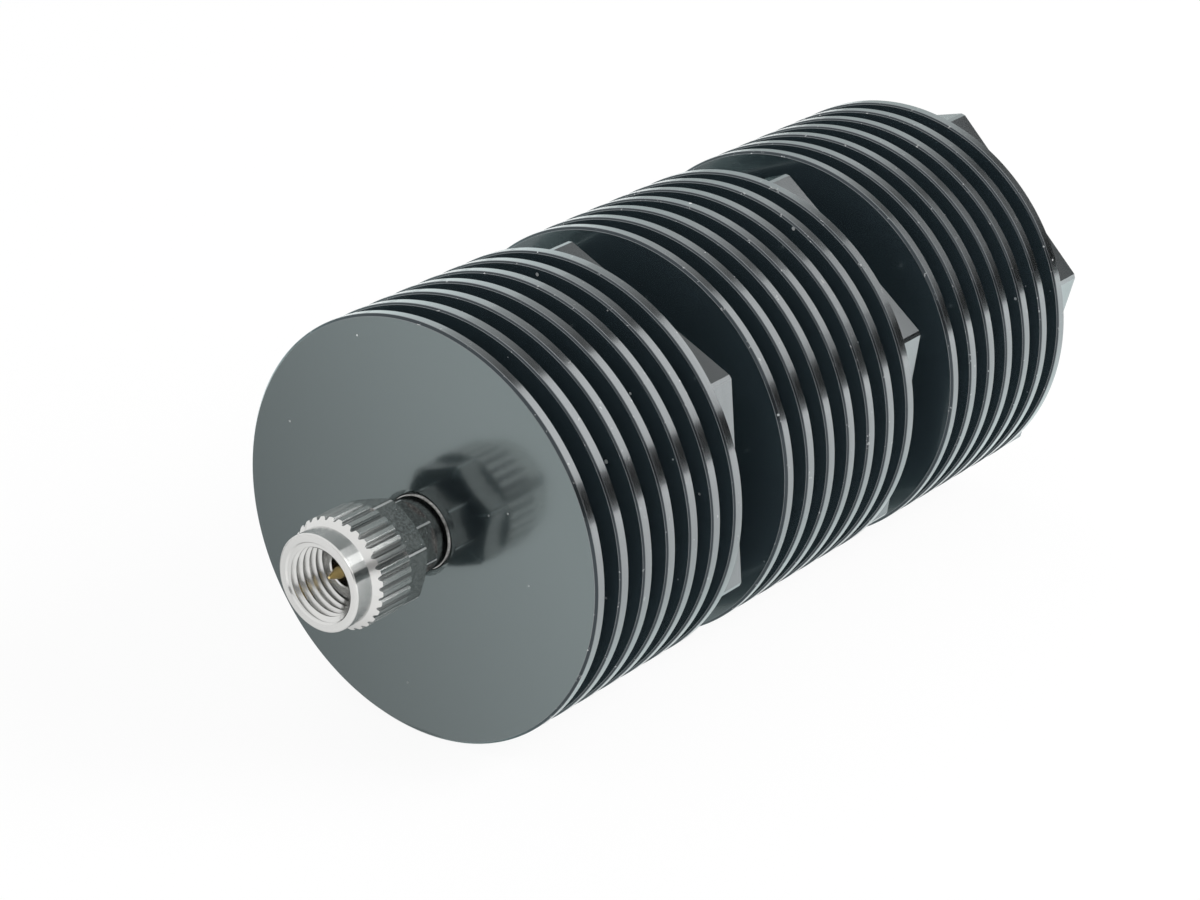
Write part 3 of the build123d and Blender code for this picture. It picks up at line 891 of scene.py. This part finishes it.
def input_shell_profile():
    """The connector body: plug, journal, wrench flats, shank, flange and thread."""
    flange_front = FRONT_FACE + FLANGE_RECESS
    hex_back = flange_front - SHANK_LENGTH
    hex_front = NUT_BACK + 0.15 * MM
    ring_back, ring_front = NUT_BACK - 1.23 * MM, NUT_BACK - 1.72 * MM
    edge, hex_edge, plug, corner = 0.1 * MM, 0.08 * MM, 2.28 * MM, INPUT_HEXAGON[1] / 2
    plug_back = SHELL_FRONT + 1.5 * MM
    ring_seat = JOURNAL_RADIUS - 0.28 * MM
    return [
        point(AIR_RADIUS, SHELL_FRONT + edge),
        point(AIR_RADIUS + edge, SHELL_FRONT),
        *rounded(plug - edge, SHELL_FRONT, plug, SHELL_FRONT + edge),
        point(plug, plug_back),
        *straight(JOURNAL_RADIUS, plug_back, ring_front),
        *straight(ring_seat, ring_front, ring_back),
        *straight(JOURNAL_RADIUS, ring_back, hex_front),
        point(corner - hex_edge, hex_front, hexagon=1, inset=hex_edge),
        *straight(corner, hex_front + hex_edge, hex_back, hexagon=1, milled=1),
        # The shank and the flange's chamfer take the flats' darker steel: painted shade
        point(SHANK_RADIUS, hex_back, milled=1),
        point(SHANK_RADIUS, flange_front),
        point(FLANGE_RADIUS - FLANGE_EDGE, flange_front, milled=1),
        *straight(FLANGE_RADIUS, flange_front + FLANGE_EDGE, FRONT_FACE + HOLE_DEPTH),
        *straight(BODY_THREAD_RADIUS, FRONT_FACE + HOLE_DEPTH, SHELL_BACK),
        *straight(CARD_LINE_RADIUS, SHELL_BACK, INPUT_BEAD_FRONT),
        point(AIR_RADIUS, INPUT_BEAD_FRONT),
    ]


def input_pin_profile():
    """The gold pin, from its conical tip to the card."""
    shoulder = SHELL_FRONT + 0.05 * MM
    mating, tip, tip_edge, cone_edge = 0.4635 * MM, 0.12 * MM, 0.08 * MM, 0.02 * MM
    cone_back = PIN_TIP + 1.0 * MM
    bead_back = INPUT_BEAD_FRONT + BEAD_LENGTH
    return [
        point(0, PIN_TIP),
        *rounded(tip * 0.4, PIN_TIP, tip, PIN_TIP + tip_edge),
        point(mating - cone_edge, cone_back),
        *straight(mating, cone_back + 0.05 * MM, shoulder),
        *straight(AIR_PIN_RADIUS, shoulder, INPUT_BEAD_FRONT),
        *straight(BEAD_NECK_RADIUS, INPUT_BEAD_FRONT, bead_back),
        *straight(CONTACT_RADIUS, bead_back, PIN_BACK),
        point(0, PIN_BACK),
    ]


def output_shell_profile(sizes):
    """The socket's body: thread in the wall, flange, wrench flats, coupling thread and mouth."""
    flange_back = REAR_FACE - FLANGE_RECESS
    hex_front = flange_back + SHANK_LENGTH
    hex_back = hex_front + 2.1 * MM
    edge, corner, relief, mouth = 0.1 * MM, OUTPUT_HEXAGON[1] / 2, 2.75 * MM, 2.32 * MM
    end_radius = sizes.thread_diameter / 2 - (OUTPUT_END - OUTPUT_THREAD_BACK)
    reference = OUTPUT_END - 1.9 * MM
    bead_back = REAR_FACE + 1.0 * MM
    return [
        point(CARD_LINE_RADIUS, OUTPUT_FRONT),
        *straight(BODY_THREAD_RADIUS, OUTPUT_FRONT, REAR_FACE - HOLE_DEPTH),
        *straight(FLANGE_RADIUS, REAR_FACE - HOLE_DEPTH, flange_back - FLANGE_EDGE),
        point(FLANGE_RADIUS - FLANGE_EDGE, flange_back),
        *straight(SHANK_RADIUS, flange_back, hex_front),
        point(corner - edge, hex_front, hexagon=1, inset=edge),
        point(corner, hex_front + edge, hexagon=1, milled=1),
        point(corner, hex_back - edge, hexagon=1),
        point(corner - edge, hex_back, hexagon=1, inset=edge),
        *straight(relief, hex_back, OUTPUT_THREAD_FRONT),
        *thread_points(OUTPUT_THREAD_FRONT, OUTPUT_THREAD_BACK, sizes),
        point(end_radius, OUTPUT_END),
        point(mouth + edge, OUTPUT_END),
        *straight(mouth, OUTPUT_END - edge, reference),
        *straight(AIR_RADIUS, reference, bead_back),
        point(CARD_LINE_RADIUS, bead_back),
    ]


# Studio, with the photo's camera as solved from the fins' ellipses

CAMERA_PLACE = (0.149674, -0.202646, 0.105370)
CAMERA_FORWARD = (-0.56504, 0.72084, -0.4014)
CAMERA_RIGHT = (0.78766, 0.61611, -0.00234)
LENS_MM = 97.24
SENSOR_MM = 36
PANEL_DISTANCE = 0.8
CARD_DISTANCE = 1.5
CARD_CUTS = 16
FLOOR_REACH = 3
FLOOR_CARD_LIFT = 0.2 * MM


def light_path_share(tree, camera_share=1.0, mirror_share=1.0):
    """A share for rays from the camera, one for rays from mirrors and glass, 0 for soft light."""
    path = add_node(tree, "ShaderNodeLightPath").outputs
    mirrored = sum_up(tree, "ADD", path["Is Glossy Ray"], path["Is Transmission Ray"], clamp=True)
    mirrored = sum_up(tree, "MULTIPLY", mirrored, mirror_share)
    return sum_up(tree, "MULTIPLY_ADD", path["Is Camera Ray"], camera_share, mirrored)


def stage_piece(name, points, faces, material):
    """A stage piece from its points and faces."""
    mesh = bpy.data.meshes.new(name)
    mesh.from_pydata(points, [], faces)
    mesh.materials.append(material)
    piece = new_object(name, mesh)
    return piece


def toward(azimuth, elevation):
    """The direction at an azimuth from +X towards +Y and an elevation, in degrees."""
    a, e = radians(azimuth), radians(elevation)
    return Vector((cos(a) * cos(e), sin(a) * cos(e), sin(e)))


def around(turn, opening):
    """The direction at a turn round the line from +X towards +Z, and at an opening from +Y."""
    a, e = radians(turn), radians(opening)
    return Vector((cos(a) * sin(e), cos(e), sin(a) * sin(e)))


def facing(turn, opening, distance):
    """A frame at that place, which looks back at the origin, with its x square to the line."""
    out = around(turn, opening)
    right = Vector((0, 1, 0)).cross(out).normalized()
    up = out.cross(right)
    matrix = Matrix((right, up, out)).transposed().to_4x4()
    matrix.translation = out * distance
    return matrix


def graded_card(name, place, grey):
    """A card that only mirrors see; its places and greys come from two shares from 0 to 1."""
    material, tree, shader = new_material(name)
    shader.inputs["Base Color"].default_value = (0, 0, 0, 1)
    shader.inputs["Specular IOR Level"].default_value = 0
    shade = add_node(tree, "ShaderNodeAttribute", attribute_name="grey").outputs["Color"]
    connect(tree, shade, shader.inputs["Emission Color"])
    shader.inputs["Emission Strength"].default_value = 1.0

    row = CARD_CUTS + 1
    steps = [step / CARD_CUTS for step in range(row)]
    shares = [(first, second) for first in steps for second in steps]
    starts = [i * row + j for i in range(CARD_CUTS) for j in range(CARD_CUTS)]
    faces = [(a, a + 1, a + row + 1, a + row) for a in starts]
    card = stage_piece(name, [place(*share) for share in shares], faces, material)
    values = card.data.attributes.new("grey", "FLOAT", "POINT")
    values.data.foreach_set("value", [grey(*share) for share in shares])
    for rays in ("camera", "diffuse", "shadow", "transmission"):
        setattr(card, f"visible_{rays}", False)
    return card


def curved_card(name, direction, first_range, second_range, greys):
    """A card bent round the origin, graded along its first range."""

    def between(ends, share):
        return ends[0] + (ends[1] - ends[0]) * share

    def place(first, second):
        out = direction(between(first_range, first), between(second_range, second))
        return out * CARD_DISTANCE

    return graded_card(name, place, lambda first, second: between(greys, first))


def floor_card():
    """Shades the floor that the front disc mirrors, from dim on the near left to bright."""
    face = FRONT_FACE / MM - 0.3

    def on_floor(first, second):
        return 20 - 110 * first, face - 92 * second

    def place(first, second):
        x, y = on_floor(first, second)
        return Vector((x * MM, y * MM, cad_box[0].z + FLOOR_CARD_LIFT))

    def grey(first, second):
        x, y = on_floor(first, second)
        return min(1.0, max(0.45, 0.2 + 0.0105 * x - 0.0135 * y))

    return graded_card("floor_card", place, grey)


def make_world(settings):
    """A white room, whose light on the object is dimmer than what the camera and mirrors see."""
    world = bpy.data.worlds.new("white_room")
    world.use_nodes = True
    tree = world.node_tree
    background = tree.nodes["Background"].inputs
    background["Color"].default_value = (1, 1, 1, 1)
    strength = spread(tree, light_path_share(tree), settings.room_light, 1.0)
    connect(tree, strength, background["Strength"])
    return world


def make_floor(settings):
    """White paper that shows the object's soft shadow, and is dimmer in mirrors."""
    material, tree, shader = new_material("floor_paper")
    shader.inputs["Base Color"].default_value = rgba(settings.floor_colour)
    shader.inputs["Roughness"].default_value = 0.9
    shader.inputs["Specular IOR Level"].default_value = 0.0
    glow = add_node(tree, "ShaderNodeEmission", {"Color": (1, 1, 1, 1), "Strength": 1.0})
    inputs = {0: light_path_share(tree, 0.93, 0.25), 1: shader.outputs[0], 2: output(glow)}
    mix = add_node(tree, "ShaderNodeMixShader", inputs)
    connect(tree, output(mix), tree.nodes["Material Output"].inputs["Surface"])
    signs = ((-1, -1), (1, -1), (1, 1), (-1, 1))
    corners = [(x * FLOOR_REACH, y * FLOOR_REACH, cad_box[0].z) for x, y in signs]
    stage_piece("floor", corners, [(0, 1, 2, 3)], material)


def make_panel(brightness, name, turn, opening, wide, high, share, is_mirrored):
    """A lamp whose width and height are given as the angles that they fill."""
    lamp = bpy.data.lights.new(name, "AREA")
    lamp.shape = "RECTANGLE"
    lamp.size = 2 * PANEL_DISTANCE * sin(radians(wide / 2))
    lamp.size_y = 2 * PANEL_DISTANCE * sin(radians(high / 2))
    lamp.energy = share * brightness * lamp.size * lamp.size_y * pi
    panel = new_object(name, lamp)
    panel.matrix_world = facing(turn, opening, PANEL_DISTANCE)
    panel.visible_glossy = is_mirrored


def make_camera():
    """The photo's camera."""
    forward, right = Vector(CAMERA_FORWARD).normalized(), Vector(CAMERA_RIGHT)
    right = (right - forward * right.dot(forward)).normalized()
    lens = bpy.data.cameras.new("camera")
    lens.lens = LENS_MM
    lens.sensor_width = SENSOR_MM
    lens.clip_start = 0.01
    camera = new_object("camera", lens)
    axes = Matrix((right, right.cross(forward), -forward))
    camera.matrix_world = axes.transposed().to_4x4()
    camera.matrix_world.translation = Vector(CAMERA_PLACE)
    return camera


# Name, turn round the line, opening from it, width and height in degrees, brightness, and
# whether mirrors see it
PANELS = (
    ("shine_panel", 49, 58, 46, 40, 0.3, True),
    ("glint_panel", 45, 70, 18, 18, 2.6, True),
    ("key_panel", 30, 60, 40, 36, 4.6, False),
    ("left_panel", 131, 69, 60, 40, 0.7, False),
    ("front_panel", 76, 123, 50, 40, 0.6, False),
)

# Name, how its place is given, its two ranges of angles in degrees, and its greys from one end
# of the first range to the other
CARDS = (
    ("low_card", around, (-4, 20.5), (15, 80), (0.0, 0.0)),
    ("far_card_low", around, (20.5, 30), (8, 40), (0.0, 0.0)),
    ("far_card_middle", around, (30, 72), (8, 38), (0.0, 0.0)),
    ("far_card_high", around, (72, 79), (8, 41.5), (0.0, 0.1)),
    ("rear_card", around, (118, 178), (8, 42.5), (0.9, 0.45)),
    ("high_card_far", around, (79, 118), (8, 42.5), (0.1, 0.9)),
    ("high_card_near", around, (77, 130), (42.5, 62), (0.0, 0.7)),
    ("near_card", toward, (-110, -20), (3, 17), (0.3, 0.3)),
)


class MakeStage(bpy.types.Operator):
    """Floor, world, panels, dark cards and the camera"""

    bl_idname = "attenuator.make_stage"
    bl_label = "Studio and camera"

    def execute(self, context):
        settings = context.scene.attenuator.studio
        context.scene.view_settings.view_transform = "Standard"
        context.scene.world = make_world(settings)
        make_floor(settings)
        for panel in PANELS:
            make_panel(settings.panel_light, *panel)
        for card in CARDS:
            curved_card(*card)
        floor_card()
        context.scene.camera = make_camera()
        return {"FINISHED"}


class MakeRadiators(bpy.types.Operator):
    """The three finned radiators with their wrench collars"""

    bl_idname = "attenuator.make_radiators"
    bl_label = "Radiators"

    def execute(self, context):
        sizes = context.scene.attenuator.radiators
        material = anodised_material()
        flats, corners = sizes.collar_across_flats, sizes.fin_diameter
        for stage, name in enumerate(STAGES):
            turned_piece(
                f"{name}_finned_radiator",
                "body",
                [f"{name}_radiator"],
                "black_anodised",
                radiator_profile(stage, sizes),
                material,
                **{"Steps Round": 384},
                **hexagon_sizes(flats, corners, radians(COLLAR_TURNS[stage]), 0.0625),
            )
        return {"FINISHED"}


class MakeCouplingNut(bpy.types.Operator):
    """The coupling nut with its knurl, hexagon and inner thread"""

    bl_idname = "attenuator.make_coupling_nut"
    bl_label = "Coupling nut"

    def execute(self, context):
        sizes = context.scene.attenuator.connectors
        turned_piece(
            "knurled_coupling_nut",
            "nut",
            ["coupling_nut"],
            "stainless_nut",
            nut_profile(sizes),
            turned_steel_material("stainless_nut", 0.92, 0.165),
            milled_steel_material("stainless_nut_flats", 0.5),
            **{
                "Steps Round": 20 * sizes.knurl_count,
                "Hexagon Across Flats": sizes.nut_across_flats,
                "Hexagon Corner Angle": radians(18),
                "Knurl Radius": sizes.knurl_diameter / 2,
                "Knurl Groove Radius": sizes.knurl_groove_radius,
                "Knurl Count": sizes.knurl_count,
            },
            **thread_sizes(NUT_FRONT + NUT_MOUTH, NUT_THREAD_BACK, sizes, False),
        )
        return {"FINISHED"}


class MakeInputConnector(bpy.types.Operator):
    """The input connector's body and its gold pin"""

    bl_idname = "attenuator.make_input_connector"
    bl_label = "Input connector"

    def execute(self, context):
        turned_piece(
            "input_connector_body",
            "body",
            ["input_shell"],
            "stainless",
            input_shell_profile(),
            *steel_materials(),
            **hexagon_sizes(*INPUT_HEXAGON),
        )
        turned_piece(
            "input_contact_pin",
            "body",
            ["input_pin"],
            "contact_gold",
            input_pin_profile(),
            gold_material(),
            closed=False,
            **{"Steps Round": 96},
        )
        return {"FINISHED"}


class MakeOutputConnector(bpy.types.Operator):
    """The output connector's body with its outer thread"""

    bl_idname = "attenuator.make_output_connector"
    bl_label = "Output connector"

    def execute(self, context):
        sizes = context.scene.attenuator.connectors
        turned_piece(
            "output_connector_body",
            "body",
            ["output_shell"],
            "stainless",
            output_shell_profile(sizes),
            *steel_materials(),
            **hexagon_sizes(*OUTPUT_HEXAGON),
            **thread_sizes(OUTPUT_THREAD_FRONT, OUTPUT_THREAD_BACK, sizes, True),
        )
        return {"FINISHED"}


class FinishInnerParts(bpy.types.Operator):
    """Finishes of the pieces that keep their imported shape: cores, cards, links and beads"""

    bl_idname = "attenuator.finish_inner_parts"
    bl_label = "Inner parts"

    def execute(self, context):
        colours = context.scene.attenuator.colours
        finishes = {
            "core_metal": plain_metal_material("core_metal", colours.aluminium, 0.3, 0.00015),
            "spring_bronze": plain_metal_material("spring_bronze", colours.bronze, 0.28, 0.00008),
            "bead_plastic": moulded_material("bead_plastic", colours.plastic, 0.45, 0.0006),
            "card_ceramic": moulded_material("card_ceramic", colours.ceramic, 0.55, 0.0004),
            "contact_gold": gold_material(),
        }
        for slot_name, material in finishes.items():
            for name in slot_nodes(slot_name):
                node = frame["nodes"][name]
                node.data.materials.clear()
                node.data.materials.append(material)
        return {"FINISHED"}


def slot_nodes(slot_name):
    """The CAD nodes that take their finish from one slot of the record."""
    names = [
        part["node"] for part in frame["record"]["subparts"] if part["material_slot"] == slot_name
    ]
    if not names:
        raise RuntimeError(f"the record has no piece with the material slot {slot_name}")
    return names


class AttenuatorPanel(bpy.types.Panel):
    """Lists the pieces and their sizes"""

    bl_idname = "VIEW3D_PT_attenuator"
    bl_label = "Attenuator"
    bl_space_type = "VIEW_3D"
    bl_region_type = "UI"
    bl_category = "Attenuator"

    def draw(self, context):
        settings = context.scene.attenuator
        for title, group, operators in PANEL_PARTS:
            box = self.layout.box()
            box.label(text=title)
            for operator in operators:
                box.operator(operator.bl_idname)
            for name in getattr(settings, group).__annotations__:
                box.prop(getattr(settings, group), name)


PANEL_PARTS = (
    ("Radiators", "radiators", (MakeRadiators,)),
    ("Connectors", "connectors", (MakeCouplingNut, MakeInputConnector, MakeOutputConnector)),
    ("Finishes", "colours", (FinishInnerParts,)),
    ("Studio", "studio", (MakeStage,)),
)

CLASSES = (
    RadiatorSizes,
    ConnectorSizes,
    FinishColours,
    StudioSettings,
    AttenuatorSettings,
    MakeStage,
    MakeRadiators,
    MakeCouplingNut,
    MakeInputConnector,
    MakeOutputConnector,
    FinishInnerParts,
    AttenuatorPanel,
)


def register():
    for item in CLASSES:
        bpy.utils.register_class(item)
    bpy.types.Scene.attenuator = PointerProperty(type=AttenuatorSettings)


def unregister():
    del bpy.types.Scene.attenuator
    for item in reversed(CLASSES):
        bpy.utils.unregister_class(item)


def main():
    register()
    bpy.ops.attenuator.make_stage()
    bpy.ops.attenuator.make_radiators()
    bpy.ops.attenuator.make_coupling_nut()
    bpy.ops.attenuator.make_input_connector()
    bpy.ops.attenuator.make_output_connector()
    bpy.ops.attenuator.finish_inner_parts()


if __name__ == "__main__":
    main()
